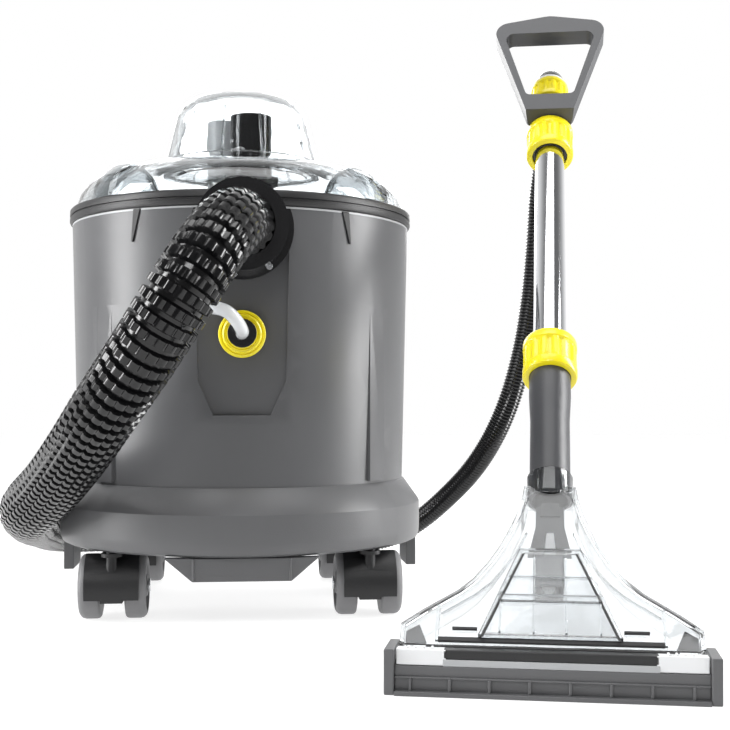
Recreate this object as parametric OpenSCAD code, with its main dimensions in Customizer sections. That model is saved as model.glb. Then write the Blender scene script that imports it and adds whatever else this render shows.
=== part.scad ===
// Spray-extraction carpet cleaner: a round canister on four twin-wheel casters,
// with its suction hose and a separate floor wand that leans back from its nozzle.
// Millimetres, +Z up, origin on the floor under the canister's axis, front towards -Y.

/* [Canister] */
// Radius of the tank wall where it meets the base
body_r_low = 178; // [160:1:200]
// Radius of the tank wall at its top edge
body_r_top = 184; // [165:1:205]
// Height of the tank's top edge above the floor
body_top = 410; // [370:1:480]
// Thickness of the tank wall
body_wall = 4; // [3:0.5:6]
// Radius of the wheeled base
base_r = 197; // [185:1:225]
// Height of the base plate's underside
base_z = 70; // [70:1:90]
// Height of the base's upright band
band_h = 45; // [30:1:60]
// Height of the slope from the band up to the tank wall
shoulder_h = 22; // [15:1:35]
// Thickness of the base plate
plate_t = 8; // [5:1:12]
// Height of the tank floor above the base plate's underside
floor_rise = 135; // [130:1:160]

/* [Front panel] */
// Half width of the recess in the front wall
recess_half_w = 43; // [36:1:55]
// Height of the recess
recess_h = 167; // [130:1:180]
// Distance from the tank's top edge down to the recess
recess_drop = 35; // [25:1:50]
// Depth of the recess
recess_depth = 9; // [5:1:14]
// Outer radius of the yellow spray coupling
coupling_r = 23; // [18:0.5:28]
// Distance from the tank's top edge down to the spray coupling
coupling_drop = 123; // [110:1:150]
// Travel of the coupling's release ring
coupling_travel = 3; // [2:0.5:5]

/* [Hose port] */
// Outer radius of the hose socket
port_r = 44; // [38:1:50]
// Distance from the tank's top edge down to the hose socket's axis
port_drop = 21; // [18:1:30]
// Length that the hose socket stands out from the wall
port_reach = 36; // [25:1:50]

/* [Lid] */
// Height of the rim seal
seal_h = 16; // [10:1:24]
// Height of the clear lid above the seal
lid_h = 52; // [40:1:70]
// Thickness of the clear mouldings
clear_wall = 3.5; // [2.5:0.5:5]
// Radius of the turret at its foot
turret_r = 88; // [80:1:100]
// Height of the turret
turret_h = 79; // [60:1:100]
// Outer radius of the air standpipe
standpipe_r = 22.5; // [18:0.5:26]

/* [Casters] */
// Radius of a caster wheel
wheel_r = 33; // [26:0.5:33]
// Width of a caster wheel
wheel_w = 22; // [16:1:26]
// Distance of each swivel axis from the canister's axis, along X and along Y
caster_at = 130; // [115:1:132]
// Distance that the wheels trail behind the swivel axis
caster_trail = 28; // [18:1:30]
// Radius of the swivel stem
stem_r = 5.5; // [4:0.5:8]
// Radius of the wheel axle
axle_r = 4; // [3:0.5:6]

/* [Rear panel] */
// Width of the switch housing
panel_w = 130; // [110:1:150]
// Height of the switch housing
panel_h = 60; // [50:1:80]
// Width of a rocker switch
rocker_w = 22; // [16:1:26]
// Height of a rocker switch
rocker_h = 32; // [24:1:40]
// Bore radius of the mains cable gland
gland_bore_r = 4.2; // [3:0.1:5]

/* [Wand] */
// Angle of the wand's tube from upright
tube_tilt = 41; // [30:1:50]
// Outer radius of the chrome tube
tube_r = 16; // [14:0.5:18]
// Wall of the chrome tube
tube_wall = 1.2; // [1:0.1:2]
// Distance along the tube between the lower nut and the upper nut
tube_span = 333; // [280:1:420]
// Radius of the two large nuts
nut_r = 26; // [24:0.5:30]
// Length of the two large nuts
nut_h = 44; // [36:1:60]
// Half width of the grip
grip_half_w = 62; // [54:1:72]
// Length of the grip
grip_len = 140; // [120:1:190]
// Thickness of the grip
grip_t = 22; // [16:1:28]

/* [Floor nozzle] */
// Half width of the nozzle between its end caps
nozzle_half_w = 117; // [100:1:150]
// Height of the grey mouth bar
mouth_h = 22; // [16:1:30]
// Width of the suction slot, front to back
slot_w = 20; // [14:1:26]
// Depth of the clear cover
cover_t = 30; // [24:1:36]
// Number of upright ribs on the mouth bar
mouth_ribs = 8; // [4:1:12]

/* [Hoses] */
// Outer diameter of the machine's suction hose
hose_d = 62; // [50:1:62]
// Outer diameter of the wand's hose
wand_hose_d = 31; // [26:1:32]
// Outer diameter of the clear spray tube
spray_tube_d = 12.5; // [8:0.5:13]

/* [Clearances] */
// Radial running clearance of stems, axles and pins
run_gap = 0.05; // [0.02:0.01:0.1]
// Gap between pieces that slide or turn past each other
slide_gap = 0.4; // [0.3:0.05:0.8]
// Gap at the ends of wheels and rockers
end_gap = 0.5; // [0.3:0.1:1]

/* [Hidden] */
$fn = 64;
CORNERS = ["front_left", "front_right", "rear_left", "rear_right"];
corner_sign = [[-1, -1], [1, -1], [-1, 1], [1, 1]];
SIDES = ["left", "right"];

// Canister levels
plate_top = base_z + plate_t;
band_top = base_z + band_h;
shoulder_top = band_top + shoulder_h;
tank_floor = base_z + floor_rise;
floor_t = 4;
flange_t = 2;
seal_bottom = body_top + flange_t;
seal_top = seal_bottom + seal_h;
lid_top = seal_top + lid_h;
dome_top = lid_top + turret_h;

// Radius of the tank wall's outside at height z
function wall_r(z) = body_r_low + (body_r_top - body_r_low) * (z - shoulder_top) / (body_top - shoulder_top);

// Base
skirt_wall = 6;
ledge_w = 10;
boss_r = 14;
boss_top = plate_top + 20;

// Front panel and spray coupling
recess_top = body_top - recess_drop;
recess_bottom = recess_top - recess_h;
recess_mid = (recess_top + recess_bottom) / 2;
panel_y = wall_r(recess_mid) - recess_depth;
panel_t = 5;
coupling_z = body_top - coupling_drop;
spigot_r = 12;
spigot_len = 30;
ring_start = coupling_travel + 3;
ring_len = 15;
spigot_back = 14;
spigot_bore_r = 5;
stop_ring_h = 3;

// Hose port
port_z = body_top - port_drop;
port_bore_r = hose_d / 2 + slide_gap;
port_back = wall_r(port_z) + 3;
port_front = port_back + port_reach;
neck_r = port_drop - 2;
port_clear_r = body_r_top + 1.3;
flange_r = port_r + 6;
flange_out = 6;
port_root_y = 150;
flange_root_y = 145;
flange_cut = 2;
port_inner_wall = 3;
port_seat = 4;
screw_ring = port_r + 1.5;
screw_angles = [-55, -100];
screw_depth = 8;
screw_head_h = 2;
screw_r = 3;

// Recovery tank, standpipe and float
bucket_r = panel_y - panel_t - 3;
bucket_wall = 3;
bucket_depth = 110;
pipe_x = 10;
pipe_y = -12;
pipe_top = lid_top + 55;
pipe_wall = 2.5;
cage_x = -20;
cage_y = 27;
cage_r = 19.5;
cage_low = lid_top - 52;
lip_t = 3;
float_h = 30;
cup_h = 12;
cup_wall = 7;
plate_low = lid_top - 6;
lid_plate_t = 3;

// Motor
motor_r = 66;
motor_top = plate_top + 70;
fan_r = 78;
fan_h = 32;
fan_wall = 4;
shaft_r = 5;
impeller_r = 62;
impeller_h = 16;
impeller_hub_r = 14;
blade_t = 2;
shaft_over = 1.5;
pump_x = -118;
pump_size = [48, 60, 34];
pump_motor_r = 18;
pump_motor_h = 30;

// Rear panel
panel_z = tank_floor + 20;
panel_out = wall_r(panel_z + panel_h) + 12;
pocket_depth = 9;
rocker_pin_r = 2;
gland_x = -46;
gland_r = 9;
gland_len = 34;
gland_out = 14;
gland_flange_h = 4;
rocker_first = 8;
rocker_pitch = 36;
rocker_pin_in = 4;
rocker_pin_over = 3;

// Casters
wheel_gap = 24;
stem_top = boss_top - 2;
hood_w = 54;
hood_r = wheel_r + 4.5;
hood_t = 3;
hood_top = base_z - 1.5;
head_r = 7;
head_t = 2;

// Wand: place of the nozzle's lip on the floor, turn about Z, distances along the tube's axis
wand_x = 229;
wand_y = -485;
wand_turn = 14;
foot_back = 40.6;
lower_nut_at = 344;
tube_in = 25;
upper_nut_at = lower_nut_at + tube_span;
neck_low = 178;
neck_r_low = 18;
neck_r_top = 19.5;
neck_straight = 90;
neck_taper = 30;
neck_wall = 3;
nut_over = 4;
sleeve_wall = 3;
sleeve_r = tube_r + sleeve_wall;
grip_collar_h = 32;
grip_collar_wall = 5;
grip_hole_low = 30;
hose_nut_r = 21.5;
hose_nut_at = upper_nut_at + 72;
tube_end = hose_nut_at + 14;
hose_nut_h = 32;
cuff_r = 17.2;
cuff_bend_r = 30;
cuff_turn = 80;
cuff_wall = 4;
cuff_end_h = 13;
grip_tilt = 27;

// Nozzle: s runs up the slope of the cover from the lip
slope = 45;
cover_s = 46;
cover_wall = 2.5;
mouth_front_t = 8;
cap_t = 8;
lock_len = 38;
lock_t = 11;
lock_h = 12;
lip_out = 7;
lip_h = 6;
rail_w = 7;
rail_h = 8;
rib_in = 12;
rib_t = 3;
rib_out = 3;
cheek_t = 6;
seal_in = 10;
seal_strip_h = 11;
cap_out = 5;
cap_w = 42;
cap_up = 13;
jet_low = 6;
jet_high = 92;
jet_half_low = 56;
jet_half_high = 25;
jet_h = 6;
jet_edge = 3;
jet_ball_r = 6;
tunnel_half_w = 12;
tunnel_up = 60;
tunnel_len = 84;
socket_wall = 2.5;
socket_h = 24;

// Hose reducer: lengths of its wide end, its cone and its thin end
reducer_wide = 20;
reducer_cone = 34;
reducer_thin = 16;

// Hose routes, chosen by hand
machine_hose_route = [
    [0, -190, 389], [-1, -235, 388], [-10, -295, 378], [-28, -338, 350], [-52, -352, 310],
    [-82, -338, 264], [-115, -300, 220], [-148, -235, 179], [-185, -150, 140], [-220, -68, 110],
    [-232, 18, 93], [-242, 110, 80], [-250, 200, 68], [-254, 275, 56], [-249, 345, 45],
    [-230, 403, 37], [-195, 444, 33], [-148, 467, 32], [-98, 469, 32], [-48, 456, 32], [0, 440, 32]];
wand_hose_route = [
    [68, 423, 32], [98, 417, 27], [138, 411, 19], [180, 407, 17], [220, 400, 26],
    [255, 384, 49], [288, 358, 82], [318, 322, 122], [341, 288, 168], [359, 260, 222],
    [374, 243, 288], [382, 228, 352], [385, 212, 415], [386, 196, 478], [386, 165, 530],
    [382, 132, 570], [375, 101, 590]];
spray_tube_route = [
    [0, -202, 287], [0, -215, 289], [-5, -226, 297], [-15, -232, 306], [-30, -237, 309],
    [-46, -247, 308], [-57, -270, 306], [-61, -295, 304], [-62, -317, 303]];

// A point of the route's smooth curve between p1 and p2
function curve_point(p0, p1, p2, p3, t) =
    0.5 * (2 * p1 + (p2 - p0) * t + (2 * p0 - 5 * p1 + 4 * p2 - p3) * t * t
           + (3 * p1 - p0 - 3 * p2 + p3) * t * t * t);

// The curve through the route's points, with a number of steps between neighbours
function smooth_route(p, steps) =
    let (n = len(p))
    concat([for (i = [0 : n - 2]) for (k = [0 : steps - 1])
                curve_point(i == 0 ? 2 * p[0] - p[1] : p[i - 1], p[i], p[i + 1],
                            i == n - 2 ? 2 * p[n - 1] - p[n - 2] : p[i + 2], k / steps)],
           [p[n - 1]]);

function unit(v) = v / norm(v);

// Sideways directions carried along the tangents without twisting
function carried(tangents, i, last) = i == len(tangents) ? [] :
    let (side = unit(last - (last * tangents[i]) * tangents[i]))
    concat([side], carried(tangents, i + 1, side));

// One closed tube along a route, with a ring of sides at each point
module swept_tube(route, d, steps, sides) {
    p = smooth_route(route, steps);
    n = len(p);
    tangents = [for (i = [0 : n - 1]) unit(p[min(i + 1, n - 1)] - p[max(i - 1, 0)])];
    across = carried(tangents, 0, unit(cross(tangents[0], [0, 0, 1])));
    points = [for (i = [0 : n - 1])
        let (up = cross(across[i], tangents[i]))
        for (j = [0 : sides - 1])
            p[i] + d / 2 * (across[i] * cos(360 * j / sides) + up * sin(360 * j / sides))];
    walls = [for (i = [0 : n - 2]) for (j = [0 : sides - 1])
        let (k = (j + 1) % sides)
        for (f = [[i * sides + j, i * sides + k, (i + 1) * sides + k],
                  [i * sides + j, (i + 1) * sides + k, (i + 1) * sides + j]]) f];
    ends = [[for (j = [sides - 1 : -1 : 0]) j], [for (j = [0 : sides - 1]) (n - 1) * sides + j]];
    polyhedron(points, concat(walls, ends));
}

// A ring or a pipe standing on the XY plane
module pipe(r, bore, h) {
    difference() {
        cylinder(r = r, h = h);
        translate([0, 0, -1]) cylinder(r = bore, h = h + 2);
    }
}

nut_flutes = 14;
// A knurled outline: a circle whose radius steps between two values
module fluted(r, count, depth) {
    polygon([for (i = [0 : count - 1]) for (k = [[0.05, r], [0.45, r], [0.55, r - depth], [0.95, r - depth]])
        k[1] * [cos(360 * (i + k[0]) / count), sin(360 * (i + k[0]) / count)]]);
}

// A nut with flutes in its middle and a plain ring at each end
module union_nut(r, bore, h) {
    ring = h * 0.2;
    difference() {
        union() {
            cylinder(r = r, h = ring);
            translate([0, 0, ring]) linear_extrude(h - 2 * ring) fluted(r - 1, nut_flutes, 2);
            translate([0, 0, h - ring]) cylinder(r = r, h = ring);
        }
        translate([0, 0, -1]) cylinder(r = bore, h = h + 2);
    }
}

// ---- Canister ----

module base_chassis() color("#6f7072") difference() {
    union() {
        rotate_extrude() polygon([
            [0, base_z], [base_r - 5, base_z], [base_r, base_z + 6], [base_r, band_top],
            [body_r_low + 2, shoulder_top], [body_r_low - ledge_w, shoulder_top],
            [body_r_low - ledge_w, shoulder_top - 5], [body_r_low, shoulder_top - 7],
            [base_r - skirt_wall, band_top - 2], [base_r - skirt_wall, plate_top], [0, plate_top]]);
        for (s = corner_sign) translate([s[0] * caster_at, s[1] * caster_at, plate_top - 1])
            cylinder(r = boss_r, h = boss_top - plate_top + 1);
    }
    for (s = corner_sign) translate([s[0] * caster_at, s[1] * caster_at, base_z - 1])
        cylinder(r = stem_r + run_gap, h = boss_top - base_z + 2);
}

// The front foot and the two side fins under the skirt
tab_low = 47;
tab_top_half_w = 75;
tab_low_half_w = 48;
tab_in = 12;
tab_t = 14;
fin_low = 36;
fin_from = 5;
fin_w = 60;
fin_t = 12;
module skirt_feet() color("#6f7072") {
    translate([0, tab_in - base_r + tab_t, 0]) rotate([90, 0, 0]) linear_extrude(tab_t)
        polygon([[-tab_top_half_w, base_z], [tab_top_half_w, base_z], [tab_low_half_w, tab_low], [-tab_low_half_w, tab_low]]);
    for (s = [-1, 1]) intersection() {
        translate([s > 0 ? base_r - fin_t : -base_r, fin_from, fin_low]) cube([fin_t, fin_w, base_z - fin_low]);
        cylinder(r = base_r - 1, h = base_z);
    }
}

// The recess's outline, wider at the top and cut off at its lower corners
module recess_outline(grow) polygon([
    [-recess_half_w - 3 - grow, recess_top + grow], [-recess_half_w - grow, recess_bottom + 34],
    [-recess_half_w + 15, recess_bottom - grow], [recess_half_w - 15, recess_bottom - grow],
    [recess_half_w + grow, recess_bottom + 34], [recess_half_w + 3 + grow, recess_top + grow]]);

module tank_body() color("#7c7d7f") difference() {
    union() {
        rotate_extrude() polygon([
            [body_r_low - body_wall, shoulder_top], [body_r_low, shoulder_top], [body_r_top, body_top],
            [body_r_top - body_wall, body_top], [wall_r(tank_floor + floor_t) - body_wall, tank_floor + floor_t],
            [0, tank_floor + floor_t], [0, tank_floor], [wall_r(tank_floor) - body_wall, tank_floor]]);
        recess_block();
        for (a = [-50, 50, 130, 230]) pillar(a);
    }
    translate([0, -panel_y, 0]) rotate([90, 0, 0]) linear_extrude(60) recess_outline(0);
    translate([0, -port_front, port_z]) rotate([-90, 0, 0]) cylinder(r = neck_r, h = port_reach + 60);
    translate([0, -panel_y - 1, coupling_z]) rotate([-90, 0, 0]) cylinder(r = spigot_r, h = panel_t + 20);
    translate([pipe_x, pipe_y, tank_floor - 1]) cylinder(r = standpipe_r, h = floor_t + 2);
    translate([0, panel_out - pocket_depth - 20, panel_z]) rear_openings();
}

// The material behind and around the recess, inside the wall
module recess_block() intersection() {
    translate([0, -panel_y + panel_t, 0]) rotate([90, 0, 0]) linear_extrude(60) recess_outline(body_wall);
    mid_wall_cone();
}

// Places where the cable gland goes through the wall
module rear_openings() translate([gland_x, -40, panel_h / 2]) rotate([-90, 0, 0])
    cylinder(r = gland_r, h = 60);

pillar_w = 26;
pillar_out = 3.5;
// A flat corner strip that stands a little proud of the round wall
module pillar(a) rotate([0, 0, a]) difference() {
    translate([-pillar_w / 2, -wall_r(shoulder_top) - pillar_out, shoulder_top + 3])
        cube([pillar_w, pillar_out + 10, body_top - 60 - shoulder_top]);
    mid_wall_cone();
}

// A solid cone whose side runs through the middle of the tank wall
module mid_wall_cone() translate([0, 0, shoulder_top]) cylinder(r1 = body_r_low - body_wall / 2,
    r2 = body_r_top - body_wall / 2, h = body_top - shoulder_top);

module recovery_tank() color("#d8dadb") difference() {
    union() {
        translate([0, 0, body_top - bucket_depth]) cylinder(r = bucket_r, h = bucket_depth);
        translate([0, 0, body_top]) cylinder(r = body_r_top, h = flange_t);
    }
    translate([0, 0, body_top - bucket_depth + bucket_wall]) cylinder(r = bucket_r - bucket_wall, h = bucket_depth);
    translate([0, -port_front, port_z]) rotate([-90, 0, 0]) cylinder(r = neck_r + slide_gap, h = port_reach + 60);
    translate([pipe_x, pipe_y, body_top - bucket_depth - 1]) cylinder(r = standpipe_r, h = 2 * bucket_wall);
}

module rim_seal() color("#1b1b1c") difference() {
    translate([0, 0, seal_bottom]) pipe(body_r_top + 1, bucket_r - bucket_wall, seal_h);
    translate([0, 0, seal_bottom + seal_h / 2 - 1]) pipe(body_r_top + 5, body_r_top - 1, 2);
}

module hose_port_collar() color("#232325") difference() {
    union() {
        difference() {
            union() {
                translate([0, -port_front, port_z]) rotate([-90, 0, 0]) cylinder(r = port_r, h = port_front - port_root_y);
                intersection() {
                    translate([0, -port_back - flange_out, port_z]) rotate([-90, 0, 0]) cylinder(r = flange_r, h = port_back - flange_root_y);
                    translate([-2 * flange_r, -port_front - flange_r, port_z - 2 * flange_r])
                        cube([4 * flange_r, port_front + flange_r, 2 * flange_r + port_drop - flange_cut]);
                }
            }
            cylinder(r = port_clear_r, h = body_top + 100);
        }
        translate([0, -port_clear_r - port_seat, port_z]) rotate([-90, 0, 0]) cylinder(r = neck_r, h = 40);
    }
    translate([0, -port_front - 1, port_z]) rotate([-90, 0, 0])
        cylinder(r = port_bore_r, h = port_front + 1 - port_clear_r - port_seat);
    translate([0, -port_front, port_z]) rotate([-90, 0, 0]) cylinder(r = neck_r - port_inner_wall, h = port_reach + 80);
    for (a = screw_angles) port_screw_place(a) translate([0, 0, -screw_depth - 4]) cylinder(r = screw_r - 1, h = screw_depth + 6);
}

module port_screw_place(a)
    translate([screw_ring * cos(a), -port_back - flange_out, port_z + screw_ring * sin(a)])
        rotate([90, 0, 0]) children();

module port_screws() color("#b5b7ba") for (a = screw_angles) port_screw_place(a) {
    difference() {
        cylinder(r = screw_r, h = screw_head_h);
        translate([-0.5, -screw_r, screw_head_h / 2]) cube([1, 2 * screw_r, screw_head_h]);
    }
    translate([0, 0, -screw_depth]) cylinder(r = screw_r - 1, h = screw_depth);
}

module coupling_body() color("#2a2b2c") translate([0, -panel_y, coupling_z]) rotate([90, 0, 0]) difference() {
    union() {
        translate([0, 0, -panel_t - spigot_back]) cylinder(r = spigot_r, h = panel_t + spigot_back + spigot_len);
        cylinder(r = coupling_r - 3, h = ring_start - 1);
        translate([0, 0, spigot_len - stop_ring_h]) cylinder(r = spigot_r + 2, h = stop_ring_h);
    }
    translate([0, 0, -panel_t - spigot_back - 1]) cylinder(r = spigot_bore_r, h = panel_t + spigot_back + spigot_len - 2);
}

module coupling_ring() color("#f2e205") translate([0, -panel_y - ring_start, coupling_z]) rotate([90, 0, 0])
    difference() {
        rotate_extrude() polygon([
            [spigot_r + slide_gap, 0], [coupling_r, 0], [coupling_r, 7], [coupling_r - 3, 9],
            [coupling_r - 3, 12], [coupling_r - 6, ring_len], [spigot_r + slide_gap, ring_len]]);
        for (a = [0 : 30 : 330]) rotate([0, 0, a]) translate([coupling_r, 0, -1]) cylinder(r = 1.5, h = 9);
    }

module standpipe() color("#1d1d1e") translate([pipe_x, pipe_y, motor_top + fan_h])
    pipe(standpipe_r, standpipe_r - pipe_wall, pipe_top - motor_top - fan_h);

module motor_housing() color("#3a3b3d") {
    difference() {
        union() {
            translate([0, 0, plate_top]) cylinder(r = motor_r, h = motor_top - plate_top);
            translate([0, 0, motor_top]) cylinder(r = fan_r, h = fan_h);
        }
        translate([0, 0, motor_top + fan_wall]) cylinder(r = fan_r - fan_wall, h = fan_h - 2 * fan_wall);
        translate([pipe_x, pipe_y, motor_top + fan_h / 2]) cylinder(r = standpipe_r - pipe_wall, h = fan_h);
    }
    translate([0, 0, motor_top]) cylinder(r = shaft_r, h = fan_wall + impeller_h + shaft_over);
}

module impeller() color("#c9cbcd") translate([0, 0, motor_top + fan_wall + end_gap]) difference() {
    union() {
        cylinder(r = impeller_r, h = blade_t);
        cylinder(r = impeller_hub_r, h = impeller_h - 1);
        for (a = [0 : 45 : 315]) rotate([0, 0, a]) translate([impeller_hub_r - 2, -blade_t / 2, 1])
            cube([impeller_r - impeller_hub_r - 2, blade_t, impeller_h - 3]);
    }
    translate([0, 0, -1]) cylinder(r = shaft_r + run_gap, h = impeller_h + 2);
}

module pump_body() color("#4a4b4d") translate([pump_x, 0, plate_top]) {
    translate([-pump_size[0] / 2, -pump_size[1] / 2, 0]) cube(pump_size);
    translate([0, 0, pump_size[2]]) cylinder(r = pump_motor_r, h = pump_motor_h);
}

// ---- Rear ----

module control_panel() color("#2b2c2e") difference() {
    translate([-panel_w / 2, 0, panel_z]) cube([panel_w, panel_out, panel_h]);
    translate([0, 0, panel_z - 5]) cylinder(r1 = wall_r(panel_z - 5), r2 = wall_r(panel_z + panel_h + 5), h = panel_h + 10);
    for (i = [0, 1]) translate([rocker_x(i) - rocker_w / 2 - slide_gap, panel_out - pocket_depth, panel_z + (panel_h - rocker_h) / 2 - 1])
        cube([rocker_w + 2 * slide_gap, pocket_depth + 1, rocker_h + 2]);
    for (i = [0, 1]) translate([rocker_x(i) - rocker_w / 2 - 4, panel_out - rocker_pin_in, panel_z + panel_h / 2]) rotate([0, 90, 0])
        cylinder(r = rocker_pin_r + run_gap, h = rocker_w + 8);
    translate([gland_x, panel_out - 40, panel_z + panel_h / 2]) rotate([-90, 0, 0]) cylinder(r = gland_r, h = 60);
}

function rocker_x(i) = rocker_first + i * rocker_pitch;

// A rocker that turns about a pin across its middle
module rocker(i) translate([rocker_x(i), panel_out - rocker_pin_in, panel_z + panel_h / 2]) {
    rotate([0, 90, 0]) translate([0, 0, -rocker_w / 2 - rocker_pin_over])
        cylinder(r = rocker_pin_r, h = rocker_w + 2 * rocker_pin_over);
    translate([-rocker_w / 2, 0, 0]) rotate([90, 0, 90]) linear_extrude(rocker_w) polygon([
        [-1.5, -rocker_h / 2 + 1.5], [1, -rocker_h / 2 + 1.5], [3.5, 0], [6, rocker_h / 2 - 2], [0, rocker_h / 2 - 2], [-2, 0]]);
}

module suction_switch() color("#111112") rocker(0);

module spray_switch() color("#111112") rocker(1);

module cable_gland() color("#1c1c1d") translate([gland_x, panel_out + gland_out - gland_len, panel_z + panel_h / 2])
    rotate([-90, 0, 0]) difference() {
        union() {
            cylinder(r = gland_r, h = gland_len);
            translate([0, 0, gland_len - gland_out]) cylinder(r = gland_r + 4, h = gland_flange_h);
        }
        translate([0, 0, -1]) cylinder(r = gland_bore_r, h = gland_len + 2);
    }

grille_w = 90;
grille_h = 40;
grille_up = 10;
grille_r = wall_r(shoulder_top + 50);
grille_slots = 5;
slot_pitch = 7;
slot_h = 3.5;
grille_frame = 8;
module exhaust_grille() color("#2b2c2e") difference() {
    translate([-grille_w / 2, 0, shoulder_top + grille_up]) cube([grille_w, grille_r + 3, grille_h]);
    translate([0, 0, shoulder_top - 1]) cylinder(r = grille_r + slide_gap, h = 2 * grille_h);
    for (k = [0 : grille_slots - 1])
        translate([-grille_w / 2 + grille_frame, 100, shoulder_top + grille_up + 4 + k * slot_pitch])
            cube([grille_w - 2 * grille_frame, 120, slot_h]);
}

// ---- Lid ----

lid_foot_r = 180;
shelf_r = 150;
ear_turn = 56;
ear_from = [-28, 152];
land_in = 13;
module lid_shell() color("#dfe6ea", 0.4) {
    difference() {
        union() {
            lid_solid(0);
            for (a = ear_from) rotate([0, 0, a]) ear(0);
        }
        lid_solid(clear_wall);
        for (a = ear_from) rotate([0, 0, a]) ear(clear_wall);
        translate([0, 0, seal_top]) cylinder(r = turret_r - land_in - 1, h = lid_h + 5);
    }
    difference() {
        translate([0, 0, plate_low]) cylinder(r = turret_r - land_in, h = lid_plate_t);
        translate([pipe_x, pipe_y, plate_low - 1]) cylinder(r = standpipe_r + 1.5, h = 10);
        translate([cage_x, cage_y, plate_low - 1]) cylinder(r = cage_r, h = 10);
    }
}

// The lid's round form, or its inside when it is inset by a wall
module lid_solid(inset) rotate_extrude() polygon([
    [0, seal_top - (inset > 0 ? 1 : 0)], [lid_foot_r - inset, seal_top - (inset > 0 ? 1 : 0)],
    [lid_foot_r - inset, seal_top + 6], [lid_foot_r - 9 - inset, seal_top + 22 - inset / 2],
    [shelf_r - inset / 2, seal_top + 34 - inset], [turret_r + 18, lid_top - 3 - inset],
    [turret_r + 3, lid_top - inset], [0, lid_top - inset]]);

// A rounded hand hold that swells out of the lid at each side
module ear(inset) rotate_extrude(angle = ear_turn) polygon([
    [126 + inset, seal_top + 14], [126 + inset, lid_top - 22 - inset], [134, lid_top - 13 - inset],
    [164, lid_top - 13 - inset], [176 - inset, lid_top - 21 - inset], [lid_foot_r - 1 - inset, seal_top + 6],
    [lid_foot_r - 20 - inset, seal_top + 6]]);

module turret_dome() color("#e4eaee", 0.4) difference() {
    rotate_extrude() polygon([
        [0, lid_top], [turret_r, lid_top], [turret_r, lid_top + 4], [turret_r - 5, lid_top + 6],
        [turret_r - 18, dome_top - 16], [turret_r - 26, dome_top - 6], [turret_r - 42, dome_top], [0, dome_top]]);
    translate([0, 0, -0.01]) rotate_extrude() polygon([
        [0, lid_top], [turret_r - 9, lid_top], [turret_r - 21, dome_top - 18],
        [turret_r - 29, dome_top - 9], [turret_r - 44, dome_top - clear_wall], [0, dome_top - clear_wall]]);
}

module float_cage() color("#e9eaea") translate([cage_x, cage_y, cage_low]) {
    difference() {
        union() {
            cylinder(r = cage_r, h = pipe_top - cage_low);
            translate([0, 0, plate_low + lid_plate_t - cage_low]) cylinder(r = cage_r + 2.5, h = 2);
        }
        translate([0, 0, lip_t]) cylinder(r = cage_r - 2, h = pipe_top - cage_low - 2 * lip_t);
        translate([0, 0, -1]) cylinder(r = cage_r - 7, h = 2 * lip_t);
    }
}

module float() color("#d9dadb") translate([cage_x, cage_y, cage_low + lip_t])
    cylinder(r = cage_r - 3, h = float_h);

module seal_cup() color("#161617") translate([pipe_x, pipe_y, plate_low - cup_h])
    pipe(standpipe_r + cup_wall, standpipe_r + slide_gap, cup_h);

// ---- Casters ----

// Puts its children at a corner's swivel axis
module at_corner(i) translate([corner_sign[i][0] * caster_at, corner_sign[i][1] * caster_at, 0]) children();

module caster_hood(i) color("#141415") at_corner(i) difference() {
    union() {
        translate([0, 0, wheel_r]) cylinder(r = stem_r, h = stem_top - wheel_r);
        translate([0, 0, base_z - 4]) cylinder(r = stem_r + 5, h = 3.7);
        intersection() {
            translate([-wheel_gap / 2 + 1, -40, 0]) cube([wheel_gap - 2, 100, hood_top]);
            translate([0, caster_trail, wheel_r]) rotate([0, 90, 0]) translate([0, 0, -20]) cylinder(r = hood_r, h = 40);
            union() {
                translate([-20, caster_trail - 40, wheel_r - 13]) cube([40, 40 + 12, 80]);
                translate([-20, caster_trail, wheel_r]) cube([40, 26, 80]);
            }
        }
        intersection() {
            translate([0, caster_trail, wheel_r]) rotate([0, 90, 0]) translate([0, 0, -hood_w / 2])
                pipe(hood_r, hood_r - hood_t, hood_w);
            translate([-hood_w, caster_trail - 50, wheel_r - 10]) cube([2 * hood_w, 50 - 14, hood_top - wheel_r + 10]);
        }
    }
    translate([-30, caster_trail, wheel_r]) rotate([0, 90, 0]) cylinder(r = axle_r, h = 60);
}

module caster_axle(i) color("#9ea0a3") at_corner(i) translate([0, caster_trail, wheel_r]) rotate([0, 90, 0]) {
    half = wheel_gap / 2 + wheel_w + end_gap;
    translate([0, 0, -half]) cylinder(r = axle_r, h = 2 * half);
    for (s = [-half - head_t, half]) translate([0, 0, s]) cylinder(r = head_r, h = head_t);
}

module caster_wheel(i, side) color("#9a9b9c") at_corner(i)
    translate([side * wheel_gap / 2, caster_trail, wheel_r]) rotate([0, side * 90, 0]) difference() {
        rotate_extrude() polygon([
            [axle_r + run_gap, 0], [wheel_r - 2, 0], [wheel_r, 2], [wheel_r, wheel_w - 3], [wheel_r - 3, wheel_w],
            [wheel_r - 7, wheel_w], [wheel_r - 9, wheel_w - 2], [12, wheel_w - 2], [10, wheel_w], [axle_r + run_gap, wheel_w]]);
    }

// ---- Wand ----

// The wand's own frame: X along the nozzle, Y back from the lip
module on_wand() translate([wand_x, wand_y, 0]) rotate([0, 0, -wand_turn]) children();

// A place on the tube's axis, with Z up the tube
module on_tube(along) on_wand() translate([0, foot_back, 0]) rotate([-tube_tilt, 0, 0]) translate([0, 0, along]) children();

// The plane of the clear cover: X across, Y up the slope, Z out of it
module on_slope() on_wand() rotate([slope, 0, 0]) children();

module chrome_tube() color("#d5d7da") on_tube(lower_nut_at - tube_in)
    pipe(tube_r, tube_r - tube_wall, tube_end - lower_nut_at + tube_in);

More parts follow.
